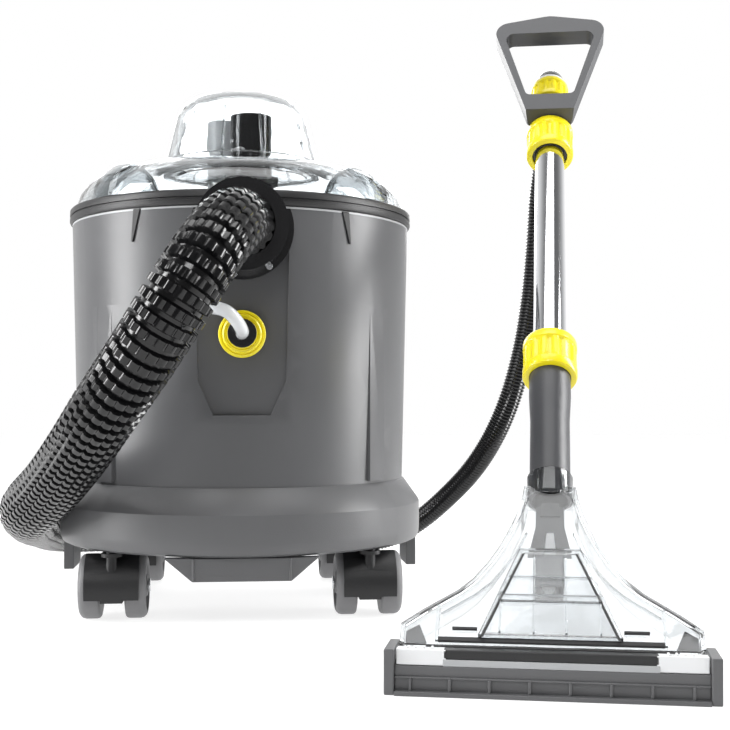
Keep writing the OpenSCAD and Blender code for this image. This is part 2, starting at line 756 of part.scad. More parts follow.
module lower_nut() color("#f2e205") on_tube(lower_nut_at - nut_h / 2)
    union_nut(nut_r, neck_r_top + slide_gap, nut_h);

module neck_tube() color("#5b5c5e") on_tube(neck_low) difference() {
    union() {
        cylinder(r = neck_r_low, h = neck_straight);
        translate([0, 0, neck_straight]) cylinder(r1 = neck_r_low, r2 = neck_r_top, h = neck_taper);
        translate([0, 0, neck_straight + neck_taper]) cylinder(r = neck_r_top,
            h = lower_nut_at + nut_h / 2 - nut_over - neck_low - neck_straight - neck_taper);
    }
    translate([0, 0, -1]) cylinder(r = neck_r_low - neck_wall, h = 200);
    translate([0, 0, lower_nut_at - tube_in - neck_low]) cylinder(r = tube_r, h = 200);
}

module upper_nut() color("#f2e205") on_tube(upper_nut_at - nut_h / 2)
    union_nut(nut_r, sleeve_r + slide_gap, nut_h);

module grip_handle() color("#4b4c4f") {
    difference() {
        union() {
            on_tube(upper_nut_at - nut_h / 2 + nut_over) cylinder(r = sleeve_r, h = nut_h);
            on_tube(upper_nut_at + nut_h / 2 + 1) cylinder(r = sleeve_r + grip_collar_wall, h = grip_collar_h);
            grip_plane() grip_solid();
        }
        on_tube(upper_nut_at - nut_h) cylinder(r = tube_r + slide_gap, h = nut_h * 3);
        on_tube(upper_nut_at + nut_h / 2 + 1 + grip_collar_h) cylinder(r = hose_nut_r + 3, h = 100);
        on_tube(upper_nut_at - nut_h / 2 - 2) difference() {
            cylinder(r = nut_r + 20, h = nut_h + 2.6);
            translate([0, 0, -1]) cylinder(r = sleeve_r, h = nut_h + 5);
        }
    }
}

// The grip's flat form leans back less than the tube and starts at its collar's front
module grip_plane() on_tube(upper_nut_at + nut_h / 2 + 1) translate([0, -sleeve_r - 3, 0])
    rotate([tube_tilt - grip_tilt, 0, 0]) rotate([90, 0, 0]) children();

grip_corner_r = 16;
grip_arch = 8;
grip_foot_half_w = 27;
grip_foot_r = 9;
hole_side = 12;
hole_top_drop = 34;
hole_low_half_w = 28;
hole_low_r = 6;
module grip_solid() translate([0, 0, -grip_t / 2]) linear_extrude(grip_t) difference() {
    hull() {
        for (s = [-1, 1]) translate([s * (grip_half_w - grip_corner_r), grip_len - grip_corner_r - grip_arch])
            circle(r = grip_corner_r, $fn = 32);
        for (s = [-1, 1]) translate([s * (grip_foot_half_w - grip_foot_r), 4]) circle(r = grip_foot_r, $fn = 32);
        translate([0, grip_len - 30]) circle(r = 30, $fn = 32);
    }
    grip_hole();
}

module grip_hole() hull() {
    for (s = [-1, 1]) translate([s * (grip_half_w - hole_side - 9), grip_len - hole_top_drop]) circle(r = 9, $fn = 32);
    for (s = [-1, 1]) translate([s * (hole_low_half_w - hole_low_r), grip_hole_low]) circle(r = hole_low_r, $fn = 32);
}

module hose_nut() color("#f2e205") on_tube(hose_nut_at) union_nut(hose_nut_r, cuff_r + slide_gap, hose_nut_h);

module hose_cuff() color("#1a1a1b") on_tube(hose_nut_at + 2) difference() {
    union() {
        cylinder(r = cuff_r, h = hose_nut_h + 1);
        translate([0, 0, hose_nut_h]) bend(cuff_r - 0.7);
        cuff_exit() translate([0, 0, -1]) cylinder(r = cuff_r + 1.5, h = cuff_end_h);
    }
    translate([0, 0, -1]) cylinder(r = tube_r, h = tube_end - hose_nut_at - 1);
    translate([0, 0, -1]) cylinder(r = cuff_r - cuff_wall, h = hose_nut_h + 2);
    translate([0, 0, hose_nut_h]) bend(cuff_r - 4.5);
    cuff_exit() translate([0, 0, -2]) cylinder(r = cuff_r - cuff_wall, h = cuff_end_h + 2);
}

// A bend that turns from the tube's axis towards the back and down
module bend(r) translate([0, cuff_bend_r, 0]) rotate([0, 90, 0]) rotate([0, 0, 270 - cuff_turn])
    rotate_extrude(angle = cuff_turn) translate([cuff_bend_r, 0]) circle(r = r);

// The plane at the bend's far end, with Z along the way out
module cuff_exit() translate([0, cuff_bend_r, hose_nut_h]) rotate([-cuff_turn, 0, 0])
    translate([0, -cuff_bend_r, 0]) children();

// ---- Floor nozzle ----

// Half of the cover's outline, from the wide mouth to the neck, by height up the slope
cover_shape = [
    [nozzle_half_w, 0], [nozzle_half_w, 17], [nozzle_half_w - 17, 31], [nozzle_half_w - 43, 50],
    [62, 62], [50, 80], [41, 97], [34, 114], [28, 131], [24, 148], [22, 164]];

module cover_outline(inset) polygon(concat(
    [for (p = cover_shape) [p[0] - inset, cover_s + p[1]]],
    [for (i = [len(cover_shape) - 1 : -1 : 0]) [inset - cover_shape[i][0], cover_s + cover_shape[i][1]]]));

module nozzle_cover() color("#dfe6ea", 0.4) difference() {
    union() {
        on_slope() translate([0, 0, -cover_t - 4]) difference() {
            linear_extrude(cover_t + 4) cover_outline(0);
            translate([0, -1, cover_wall]) linear_extrude(cover_t + 4 - 2 * cover_wall) cover_outline(cover_wall);
        }
        on_tube(neck_low) cylinder(r = neck_r_low + socket_wall, h = socket_h);
    }
    on_tube(neck_low) cylinder(r = neck_r_low, h = 60);
}

module jet_cover() color("#dfe6ea", 0.4) on_slope() difference() {
    linear_extrude(jet_h) jet_outline(0);
    translate([0, 0, -1]) linear_extrude(jet_h - 1.5) jet_outline(jet_edge);
}

// The outline of the raised window over the spray, wide at its foot
module jet_outline(inset) polygon([
    [inset - jet_half_low, cover_s + jet_low + inset], [jet_half_low - inset, cover_s + jet_low + inset],
    [jet_half_high - inset * 2 / 3, cover_s + jet_high - inset], [inset * 2 / 3 - jet_half_high, cover_s + jet_high - inset]]);

module inner_tunnel() color("#7a7c7e") on_slope() translate([-tunnel_half_w, cover_s + tunnel_up, -cover_t + 2])
    difference() {
        cube([2 * tunnel_half_w, tunnel_len, cover_t - 6]);
        translate([2, -1, 2]) cube([2 * tunnel_half_w - 4, tunnel_len + 6, cover_t - 10]);
    }

module spray_jet() color("#cfd6da") on_slope() translate([0, cover_s + tunnel_up + 10, -cover_t + 10]) sphere(r = jet_ball_r);

module mouth_bar() color("#77787a") on_wand() {
    translate([-nozzle_half_w, 0, 0]) cube([2 * nozzle_half_w, mouth_front_t, mouth_h]);
    translate([-nozzle_half_w, -lip_out, 0]) cube([2 * nozzle_half_w, lip_out + 1, lip_h]);
    translate([-nozzle_half_w, mouth_front_t + slot_w, 0]) cube([2 * nozzle_half_w, rail_w, rail_h]);
    for (s = [-1, 1]) translate([s * (nozzle_half_w - cheek_t / 2) - cheek_t / 2, 1, 0])
        cube([cheek_t, mouth_front_t + slot_w + 2, mouth_h - 1]);
    pitch = 2 * (nozzle_half_w - rib_in) / (mouth_ribs - 1);
    for (i = [0 : mouth_ribs - 1]) translate([-nozzle_half_w + rib_in + i * pitch - rib_t / 2, -rib_out, 0])
        cube([rib_t, rib_out + 1, mouth_h]);
}

module seal_strip() color("#151516") on_wand() translate([-nozzle_half_w + lock_len + seal_in, 1, mouth_h])
    cube([2 * (nozzle_half_w - lock_len - seal_in), lock_t, seal_strip_h]);

module slide_lock(s) color("#e8e9ea") on_wand()
    translate([s > 0 ? nozzle_half_w - lock_len - 1 : 1 - nozzle_half_w, 1, mouth_h + slide_gap]) {
        cube([lock_len, lock_t, lock_h]);
        for (k = [8 : 6 : 26]) translate([k, 2, lock_h]) cube([2, lock_t - 4, 1.5]);
    }

module end_cap(s) color("#6b6c6e") on_wand()
    translate([s > 0 ? nozzle_half_w : -nozzle_half_w - cap_t, -cap_out, 0]) cube([cap_t, cap_w, mouth_h + cap_up]);

// ---- Hoses ----

module machine_hose() color("#0f0f10") swept_tube(machine_hose_route, hose_d, 2, 12);

module hose_reducer() color("#1a1a1b") translate(machine_hose_route[len(machine_hose_route) - 1])
    rotate([0, 90, atan2(-17, 68)]) {
        cylinder(r = hose_d / 2, h = reducer_wide);
        translate([0, 0, reducer_wide]) cylinder(r1 = hose_d / 2, r2 = wand_hose_d / 2 + 2, h = reducer_cone);
        translate([0, 0, reducer_wide + reducer_cone]) cylinder(r = wand_hose_d / 2 + 2, h = reducer_thin);
    }

module wand_hose() color("#0f0f10") swept_tube(wand_hose_route, wand_hose_d, 2, 10);

module spray_tube() color("#eef2f4", 0.6) swept_tube(spray_tube_route, spray_tube_d, 1, 8);

base_chassis();
skirt_feet();
tank_body();
recovery_tank();
rim_seal();
hose_port_collar();
port_screws();
coupling_body();
coupling_ring();
standpipe();
motor_housing();
impeller();
pump_body();
control_panel();
suction_switch();
spray_switch();
cable_gland();
exhaust_grille();
lid_shell();
turret_dome();
float_cage();
float();
seal_cup();
for (i = [0 : 3]) {
    caster_hood(i);
    caster_axle(i);
    caster_wheel(i, -1);
    caster_wheel(i, 1);
}
chrome_tube();
lower_nut();
neck_tube();
upper_nut();
grip_handle();
hose_nut();
hose_cuff();
nozzle_cover();
jet_cover();
inner_tunnel();
spray_jet();
mouth_bar();
seal_strip();
slide_lock(-1);  // slide_lock_left
slide_lock(1);  // slide_lock_right
end_cap(-1);  // end_cap_left
end_cap(1);  // end_cap_right
machine_hose();
hose_reducer();
wand_hose();
spray_tube();
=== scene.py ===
import math
import bmesh
import bpy
from mathutils import Matrix, Vector


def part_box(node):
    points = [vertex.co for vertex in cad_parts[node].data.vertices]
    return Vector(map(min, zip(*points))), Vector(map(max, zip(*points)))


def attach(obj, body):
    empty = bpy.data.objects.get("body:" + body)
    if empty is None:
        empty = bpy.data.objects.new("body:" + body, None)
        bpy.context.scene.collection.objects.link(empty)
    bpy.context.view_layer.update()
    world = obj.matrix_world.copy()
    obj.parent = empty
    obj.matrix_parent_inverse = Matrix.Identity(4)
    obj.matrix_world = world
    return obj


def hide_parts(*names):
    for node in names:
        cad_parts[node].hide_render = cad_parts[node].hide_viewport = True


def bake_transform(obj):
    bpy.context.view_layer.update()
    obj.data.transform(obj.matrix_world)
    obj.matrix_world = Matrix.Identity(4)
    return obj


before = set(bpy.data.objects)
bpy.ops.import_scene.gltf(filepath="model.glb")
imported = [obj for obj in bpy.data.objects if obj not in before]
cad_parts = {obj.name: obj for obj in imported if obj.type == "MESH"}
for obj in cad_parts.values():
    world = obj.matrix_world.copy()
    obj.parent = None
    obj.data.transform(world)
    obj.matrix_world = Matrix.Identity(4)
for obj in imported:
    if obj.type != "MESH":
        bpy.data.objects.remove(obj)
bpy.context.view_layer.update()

# ---- Studio ----
# A pale sweep of floor, a white surround and large soft boxes at both sides, which
# draw the bright edges down the grey mouldings. None of it is part of the machine.
EYE = (0.0, -1.40, 0.226)
EYE_TURN = math.radians(5.62)
LENS = 61.6
RISE = 0.0438

camera_data = bpy.data.cameras.new("Studio_Camera")
camera_data.lens = LENS
camera_data.sensor_width = 36.0
camera_data.shift_y = RISE
camera = bpy.data.objects.new("Studio_Camera", camera_data)
camera.location = EYE
camera.rotation_euler = (math.radians(90), 0.0, -EYE_TURN)
bpy.context.scene.collection.objects.link(camera)
bpy.context.scene.camera = camera
bpy.context.scene.view_settings.view_transform = "Standard"

world = bpy.data.worlds.new("Studio_White")
bpy.context.scene.world = world
world.use_nodes = True
sky = world.node_tree.nodes
links = world.node_tree.links
seen_white = sky["Background"]
seen_white.inputs["Color"].default_value = (1.0, 1.0, 1.0, 1.0)
seen_white.inputs["Strength"].default_value = 1.0
around = sky.new("ShaderNodeBackground")
around.inputs["Color"].default_value = (1.0, 1.0, 1.0, 1.0)
way = sky.new("ShaderNodeTexCoord")
axes = sky.new("ShaderNodeSeparateXYZ")
fade = sky.new("ShaderNodeMapRange")
fade.interpolation_type = "SMOOTHSTEP"
fade.inputs["From Min"].default_value = 0.05
fade.inputs["From Max"].default_value = 0.85
fade.inputs["To Min"].default_value = 0.16
fade.inputs["To Max"].default_value = 1.0
ray = sky.new("ShaderNodeLightPath")
mix = sky.new("ShaderNodeMixShader")
links.new(way.outputs["Generated"], axes.inputs[0])
links.new(axes.outputs["Y"], fade.inputs["Value"])
links.new(fade.outputs["Result"], around.inputs["Strength"])
links.new(ray.outputs["Is Camera Ray"], mix.inputs["Fac"])
links.new(around.outputs[0], mix.inputs[1])
links.new(seen_white.outputs[0], mix.inputs[2])
links.new(mix.outputs[0], sky["World Output"].inputs["Surface"])


def soft_box(name, place, aim, width, height, power):
    light = bpy.data.lights.new(name, "AREA")
    light.shape = "RECTANGLE"
    light.size = width
    light.size_y = height
    light.energy = power
    lamp = bpy.data.objects.new(name, light)
    lamp.location = place
    lamp.rotation_euler = (Vector(aim) - Vector(place)).to_track_quat("-Z", "Y").to_euler()
    bpy.context.scene.collection.objects.link(lamp)


soft_box("Box_Left", (-1.7, -0.3, 0.8), (0.0, 0.0, 0.25), 0.6, 1.6, 42)
soft_box("Box_Right", (1.8, -0.2, 0.8), (0.1, 0.0, 0.3), 0.5, 1.6, 40)
soft_box("Box_Front", (-0.25, -1.9, 1.5), (0.1, 0.0, 0.2), 0.9, 0.5, 14)
soft_box("Box_Top", (0.1, -0.4, 2.0), (0.1, -0.1, 0.2), 1.6, 1.0, 18)
soft_box("Box_Rear", (0.2, 1.9, 1.1), (0.1, 0.0, 0.2), 1.4, 1.0, 16)

floor_mesh = bmesh.new()
bmesh.ops.create_grid(floor_mesh, x_segments=1, y_segments=1, size=6.0)
floor_data = bpy.data.meshes.new("Floor")
floor_mesh.to_mesh(floor_data)
floor_mesh.free()
floor = bpy.data.objects.new("Floor", floor_data)
bpy.context.scene.collection.objects.link(floor)
floor_look = bpy.data.materials.new("Floor_White")
floor_look.use_nodes = True
floor_shader = floor_look.node_tree.nodes["Principled BSDF"]
floor_shader.inputs["Base Color"].default_value = (0.35, 0.35, 0.35, 1.0)
floor_shader.inputs["Emission Color"].default_value = (1.0, 1.0, 1.0, 1.0)
floor_shader.inputs["Emission Strength"].default_value = 0.80
floor_shader.inputs["Roughness"].default_value = 0.75
floor_data.materials.append(floor_look)

# ---- Machine hose ----
# The thick suction hose is extruded black plastic with a raised ring every 12 mm. Each
# ring carries a row of small square pads. One end is pushed into the front socket.
HOSE_PITCH = 0.012
HOSE_ROUTE = [
    (0, -190, 389), (-1, -235, 388), (-10, -295, 378), (-28, -338, 350), (-52, -352, 310),
    (-82, -338, 264), (-115, -300, 220), (-148, -235, 179), (-185, -150, 140), (-220, -68, 110),
    (-232, 18, 93), (-242, 110, 80), (-250, 200, 68), (-254, 275, 56), (-249, 345, 45),
    (-230, 403, 37), (-195, 444, 33), (-148, 467, 32), (-98, 469, 32), (-48, 456, 32),
    (0, 440, 32)]
MM = 0.001


def moulded(name, colour, rough, grain=900.0, depth=0.02, tint=0.10, coat=0.0, metal=0.0):
    """A plastic, rubber or metal with its grain, a slight drift in colour and uneven gloss."""
    look = bpy.data.materials.new(name)
    look.use_nodes = True
    nodes = look.node_tree.nodes
    join = look.node_tree.links.new
    shader = nodes["Principled BSDF"]
    shader.inputs["Metallic"].default_value = metal
    shader.inputs["Coat Weight"].default_value = coat
    shader.inputs["Coat Roughness"].default_value = 0.08
    where = nodes.new("ShaderNodeTexCoord")
    drift = nodes.new("ShaderNodeTexNoise")
    drift.inputs["Scale"].default_value = 14.0
    drift.inputs["Detail"].default_value = 4.0
    join(where.outputs["Object"], drift.inputs["Vector"])
    ramp = nodes.new("ShaderNodeValToRGB")
    ramp.color_ramp.elements[0].position = 0.3
    ramp.color_ramp.elements[1].position = 0.7
    ramp.color_ramp.elements[0].color = [c * (1 - tint) for c in colour] + [1.0]
    ramp.color_ramp.elements[1].color = [min(c * (1 + tint), 1.0) for c in colour] + [1.0]
    join(drift.outputs["Fac"], ramp.inputs["Fac"])
    join(ramp.outputs["Color"], shader.inputs["Base Color"])
    gloss = nodes.new("ShaderNodeMapRange")
    gloss.inputs["To Min"].default_value = rough * 0.85
    gloss.inputs["To Max"].default_value = min(rough * 1.2, 1.0)
    join(drift.outputs["Fac"], gloss.inputs["Value"])
    join(gloss.outputs["Result"], shader.inputs["Roughness"])
    fine = nodes.new("ShaderNodeTexNoise")
    fine.inputs["Scale"].default_value = grain
    fine.inputs["Detail"].default_value = 3.0
    join(where.outputs["Object"], fine.inputs["Vector"])
    bump = nodes.new("ShaderNodeBump")
    bump.inputs["Strength"].default_value = depth * 10
    bump.inputs["Distance"].default_value = 0.0004
    join(fine.outputs["Fac"], bump.inputs["Height"])
    join(bump.outputs["Normal"], shader.inputs["Normal"])
    return look


def smooth_route(points, steps):
    """The route's smooth curve in metres, as the same curve that the machine's own drawing uses."""
    p = [Vector(q) * MM for q in points]
    p = [2 * p[0] - p[1]] + p + [2 * p[-1] - p[-2]]
    line = []
    for i in range(1, len(p) - 2):
        for k in range(steps):
            t = k / steps
            line.append(0.5 * (2 * p[i] + (p[i + 1] - p[i - 1]) * t
                               + (2 * p[i - 1] - 5 * p[i] + 4 * p[i + 1] - p[i + 2]) * t * t
                               + (3 * p[i] - p[i - 1] - 3 * p[i + 1] + p[i + 2]) * t ** 3))
    return line + [p[-2]]


def route_length(line):
    return sum((b - a).length for a, b in zip(line, line[1:]))


def hose_mesh(name, line, step, sides, radius):
    """A tube rolled up from a grid and laid along a line. radius gives its size by length and turn."""
    total = route_length(line)
    rings = max(8, round(total / step))
    mesh = bmesh.new()
    bmesh.ops.create_grid(mesh, x_segments=rings, y_segments=sides, size=0.5)
    reached = [0.0]
    for a, b in zip(line, line[1:]):
        reached.append(reached[-1] + (b - a).length)
    frames = []
    side = (line[1] - line[0]).cross(Vector((0, 0, 1))).normalized()
    at = 0
    for i in range(rings + 1):
        s = total * i / rings
        while at < len(line) - 2 and reached[at + 1] < s:
            at += 1
        ahead = (line[at + 1] - line[at])
        share = (s - reached[at]) / max(ahead.length, 1e-9)
        before = line[max(at - 1, 0)]
        after = line[min(at + 2, len(line) - 1)]
        way = ((ahead * 2) + (line[at] - before) * (1 - share) + (after - line[at + 1]) * share).normalized()
        side = (side - way * side.dot(way)).normalized()
        frames.append((line[at] + ahead * share, side, side.cross(way), s))
    for v in mesh.verts:
        i = round((v.co.x + 0.5) * rings)
        turn = 2 * math.pi * (v.co.y + 0.5)
        centre, across, up, s = frames[i]
        v.co = centre + (across * math.cos(turn) + up * math.sin(turn)) * radius(s, turn)
    bmesh.ops.remove_doubles(mesh, verts=mesh.verts, dist=1e-5)
    bmesh.ops.holes_fill(mesh, edges=[e for e in mesh.edges if e.is_boundary], sides=0)
    bmesh.ops.recalc_face_normals(mesh, faces=mesh.faces)
    return settled(name, mesh, 50)


def settled(name, mesh, sharp=35):
    """An object from a bmesh, smooth except along its sharp edges."""
    data = bpy.data.meshes.new(name)
    mesh.to_mesh(data)
    mesh.free()
    data.shade_smooth()
    data.set_sharp_from_angle(angle=math.radians(sharp))
    piece = bpy.data.objects.new(name, data)
    bpy.context.scene.collection.objects.link(piece)
    return piece


def fixed(piece, body, look, slot_name, *nodes):
    """Gives a piece its material and lets it ride on a body in place of its CAD nodes; slot_name is not used.
    """
    piece.data.materials.clear()
    piece.data.materials.append(look)
    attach(piece, body)
    if nodes:
        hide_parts(*nodes)
    return piece


def thick_ribs(s, turn):
    """Square-shouldered rings, with pads standing on each ring."""
    phase = (s / HOSE_PITCH) % 1.0
    ring = max(0.0, min(1.0, (0.36 - abs(phase - 0.5)) / 0.10))
    pad = 1.0 if (turn / math.tau * 18) % 1.0 < 0.66 else 0.0
    return 0.0255 + 0.0032 * ring + 0.0021 * pad * ring


hose_black = moulded("Hose_Black", (0.005, 0.005, 0.0055), 0.16, grain=500, depth=0.02, tint=0.3, coat=0.2)
hose_black.node_tree.nodes["Principled BSDF"].inputs["Specular IOR Level"].default_value = 0.35
hose_line = smooth_route(HOSE_ROUTE, 8)
machine_hose = hose_mesh("Machine_Hose", hose_line, HOSE_PITCH / 8, 72, thick_ribs)
fixed(machine_hose, "canister", hose_black, "hose_black", "machine_hose")

# ---- Wand hose ----
# The thinner hose from the reducer behind the canister up to the wand's cuff: black
# plastic with a fine ring every 4.5 mm.
WAND_HOSE_PITCH = 0.0045
WAND_HOSE_ROUTE = [
    (68, 423, 32), (98, 417, 27), (138, 411, 19), (180, 407, 17), (220, 400, 26), (255, 384, 49),
    (288, 358, 82), (318, 322, 122), (341, 288, 168), (359, 260, 222), (374, 243, 288),
    (382, 228, 352), (385, 212, 415), (386, 196, 478), (386, 165, 530), (382, 132, 570),
    (375, 101, 590)]


def fine_ribs(s, turn):
    """Rounded rings with small beads along them."""
    wave = 0.5 + 0.5 * math.cos(math.tau * s / WAND_HOSE_PITCH)
    bead = 0.5 + 0.5 * math.cos(turn * 20 + math.pi * round(s / WAND_HOSE_PITCH))
    return 0.0138 + 0.0012 * wave + 0.0004 * bead * wave


wand_line = smooth_route(WAND_HOSE_ROUTE, 8)
wand_hose = hose_mesh("Wand_Hose", wand_line, WAND_HOSE_PITCH / 4, 40, fine_ribs)
wand_hose.data.materials.append(hose_black)
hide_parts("wand_hose")
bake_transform(wand_hose)

# ---- Spray tube ----
# A short length of clear soft tube that carries the cleaning water from the yellow
# coupling to the hose. It is pushed into place at both ends.
SPRAY_TUBE_D = 0.0125
SPRAY_TUBE_ROUTE = [
    (0, -202, 287), (0, -215, 289), (-5, -226, 297), (-15, -232, 306), (-30, -237, 309),
    (-46, -247, 308), (-57, -270, 306), (-61, -295, 304), (-62, -317, 303)]


def clear_plastic(name, colour, rough, ior=1.46, ripple=0.04):
    """A clear moulding: it bends light, and its surface has a faint flow ripple."""
    look = bpy.data.materials.new(name)
    look.use_nodes = True
    nodes = look.node_tree.nodes
    shader = nodes["Principled BSDF"]
    shader.inputs["Base Color"].default_value = (*colour, 1.0)
    shader.inputs["Transmission Weight"].default_value = 1.0
    shader.inputs["Roughness"].default_value = rough
    shader.inputs["IOR"].default_value = ior
    where = nodes.new("ShaderNodeTexCoord")
    flow = nodes.new("ShaderNodeTexNoise")
    flow.inputs["Scale"].default_value = 26.0
    flow.inputs["Detail"].default_value = 2.0
    bump = nodes.new("ShaderNodeBump")
    bump.inputs["Strength"].default_value = ripple * 10
    bump.inputs["Distance"].default_value = 0.002
    look.node_tree.links.new(where.outputs["Object"], flow.inputs["Vector"])
    look.node_tree.links.new(flow.outputs["Fac"], bump.inputs["Height"])
    look.node_tree.links.new(bump.outputs["Normal"], shader.inputs["Normal"])
    return look


tube_look = moulded("Tube_Milky", (0.86, 0.88, 0.90), 0.22, grain=300, depth=0.01, tint=0.04, coat=0.6)
tube_look.node_tree.nodes["Principled BSDF"].inputs["Transmission Weight"].default_value = 0.25
spray_line = smooth_route(SPRAY_TUBE_ROUTE, 8)
spray_tube = hose_mesh("Spray_Tube", spray_line, 0.002, 24, lambda s, turn: SPRAY_TUBE_D / 2)
fixed(spray_tube, "canister", tube_look, "clear_tube", "spray_tube")

# ---- Hose reducer ----
# A soft black sleeve that steps the thick hose down to the thin one on the floor
# behind the canister. It is moulded rubber with grip rings, pushed over both ends.


def spun(profile, steps=96, turn=math.tau, inner=()):
    """A round form: a line of (radius, height) points spun about Z. inner closes it into a wall."""
    mesh = bmesh.new()
    row = [mesh.verts.new((r, 0.0, z)) for r, z in list(profile) + list(inner)]
    ring = [mesh.edges.new((a, b)) for a, b in zip(row, row[1:])]
    if inner:
        ring.append(mesh.edges.new((row[-1], row[0])))
    full = abs(turn - math.tau) < 1e-6
    bmesh.ops.spin(mesh, geom=row + ring, axis=(0, 0, 1), cent=(0, 0, 0), angle=turn,
                   steps=steps, use_merge=full, use_duplicate=False)
    bmesh.ops.remove_doubles(mesh, verts=mesh.verts, dist=1e-6)
    bmesh.ops.recalc_face_normals(mesh, faces=mesh.faces)
    return mesh


def moved(mesh, *steps):
    """Takes a bmesh through a list of matrices, the first one first."""
    for step in steps:
        bmesh.ops.transform(mesh, matrix=step, verts=mesh.verts)
    return mesh


rubber_and_painted_edge_black = moulded("Rubber_And_Painted_Edge_Black", (0.014, 0.014, 0.015), 0.42, grain=700, depth=0.05, tint=0.2)
sleeve = [(0.0, 0.0), (0.031, 0.0), (0.031, 0.003)]
for k in range(4):
    sleeve += [(0.0295, 0.0035 + k * 0.004), (0.0295, 0.0050 + k * 0.004),
               (0.031, 0.0055 + k * 0.004), (0.031, 0.0070 + k * 0.004)]
sleeve += [(0.031, 0.020), (0.024, 0.040), (0.0178, 0.053), (0.0174, 0.070), (0.0, 0.070)]
reducer_turn = math.atan2(-17, 68)
reducer = settled("Hose_Reducer", moved(spun(sleeve), Matrix.Rotation(math.pi / 2, 4, "Y"),
                                        Matrix.Rotation(reducer_turn, 4, "Z"),
                                        Matrix.Translation((0.0, 0.440, 0.032))))
fixed(reducer, "canister", rubber_and_painted_edge_black, "black_rubber", "hose_reducer")

# ---- Base chassis ----
# The wheeled skirt is one injection moulding in fine-grained grey polypropylene: an upright
# band, a sloping shoulder up to the tank, flat facets at its corners and a front foot.
BASE_R = 0.197
FACETS = [math.radians(a) for a in (-140, -40, 40, 140)]
FACET_HALF = math.radians(4.6)


def faceted(mesh, angles, half, top=1.0):
    """Presses a flat strip into a round form at each angle, up to a height."""
    for v in mesh.verts:
        turn = math.atan2(v.co.y, v.co.x)
        for a in angles:
            off = (turn - a + math.pi) % math.tau - math.pi
            if abs(off) < half and v.co.z < top:
                shrink = math.cos(half) / math.cos(off)
                v.co.x *= shrink
                v.co.y *= shrink
    return mesh


def rounded(piece, width, segments=2, angle=40):
    """A small round along the sharp edges, as a mould leaves them."""
    bevel = piece.modifiers.new("Mould_Round", "BEVEL")
    bevel.width = width
    bevel.segments = segments
    bevel.limit_method = "ANGLE"
    bevel.angle_limit = math.radians(angle)
    bevel.harden_normals = True
    return piece


def prism(outline, low, high):
    """A flat outline in X and Y, drawn out along Z."""
    mesh = bmesh.new()
    face = mesh.faces.new([mesh.verts.new((x, y, low)) for x, y in outline])
    out = bmesh.ops.extrude_face_region(mesh, geom=[face])
    top = [g for g in out["geom"] if isinstance(g, bmesh.types.BMVert)]
    bmesh.ops.translate(mesh, vec=(0, 0, high - low), verts=top)
    bmesh.ops.recalc_face_normals(mesh, faces=mesh.faces)
    return mesh


def added(mesh, other):
    """Puts a second bmesh's faces into the first one."""
    data = bpy.data.meshes.new("part")
    other.to_mesh(data)
    other.free()
    mesh.from_mesh(data)
    bpy.data.meshes.remove(data)
    return mesh


def from_cad(node, dissolve=0.5):
    """A merged copy of a CAD node's mesh, with its flat faces made whole."""
    mesh = bmesh.new()
    mesh.from_mesh(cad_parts[node].data)
    bmesh.ops.remove_doubles(mesh, verts=mesh.verts, dist=2e-6)
    if dissolve:
        bmesh.ops.dissolve_limit(mesh, angle_limit=math.radians(dissolve), verts=mesh.verts, edges=mesh.edges)
    return mesh


grey_base = moulded("Grey_Base", (0.105, 0.106, 0.110), 0.36, grain=1100, depth=0.035, tint=0.04)
skirt = spun([(0.0, 0.0705), (0.185, 0.0705), (0.190, 0.0712), (0.1945, 0.0735), (0.1965, 0.078),
              (BASE_R, 0.086), (BASE_R, 0.112), (0.1955, 0.1148), (0.1800, 0.1365), (0.1788, 0.1372),
              (0.1700, 0.1372), (0.1700, 0.1300), (0.0, 0.1300)], steps=360)
faceted(skirt, FACETS, FACET_HALF)
base = rounded(settled("Base_Chassis", skirt, 25), 0.0012)
fixed(base, "canister", grey_base, "grey_base", "base_chassis")

# The front foot and the side fins are thin-walled and stand under the skirt. The foot
# has two ribs on its face.
feet = from_cad("skirt_feet")
for x in (-0.047, 0.047):
    rib = prism([(-0.0013, 0.000), (0.0013, 0.000), (0.0013, -0.0225), (-0.0013, -0.0225)], 0.0, 0.0020)
    added(feet, moved(rib, Matrix.Rotation(math.pi / 2, 4, "X"), Matrix.Translation((x, -0.1848, 0.0698))))
fixed(rounded(settled("Skirt_Feet", feet), 0.0010), "canister", grey_base, "grey_base", "skirt_feet")

# ---- Tank body ----
# The outer tank is a tapered grey moulding that stands on the base. It has flat strips at
# its corners and a recess in front for the spray coupling. Painted shadows sit under the lid's catches.
grey_tank = moulded("Grey_Tank", (0.088, 0.089, 0.093), 0.32, grain=1200, depth=0.03, tint=0.03)


def dressed(node, name, body, look, slot_name, width=0.0006, dissolve=0.5, sharp=30):
    """A CAD node's shape with rounded edges, smooth curves and its own finish."""
    piece = settled(name, from_cad(node, dissolve), sharp)
    if width:
        rounded(piece, width)
    return fixed(piece, body, look, slot_name, node)


dressed("tank_body", "Tank_Body", "canister", grey_tank, "grey_body", 0.0010, 0.2)

# Painted shadow: two dark tapered tabs under the rim, below the lid's catches, stand in for the shadows that
# the catches throw on the wall.
painted_shadow_black = moulded("Painted_Shadow_Black", (0.012, 0.012, 0.013), 0.5, grain=900, depth=0.03, tint=0.1)
for s in (-1, 1):
    catch_shadow = prism([(-0.0045, 0.0), (0.0045, 0.0), (0.0012 + s * 0.006, -0.032),
                   (-0.0012 + s * 0.006, -0.032)],
                  0.0, 0.004)
    moved(catch_shadow, Matrix.Rotation(math.pi / 2, 4, "X"), Matrix.Translation((0, -0.1812, 0.4115)),
          Matrix.Rotation(s * math.radians(34), 4, "Z"))
    piece = rounded(settled("Catch_Shadow_" + ("Left" if s < 0 else "Right"), catch_shadow), 0.0008)
    fixed(piece, "canister", painted_shadow_black, "black_plastic")

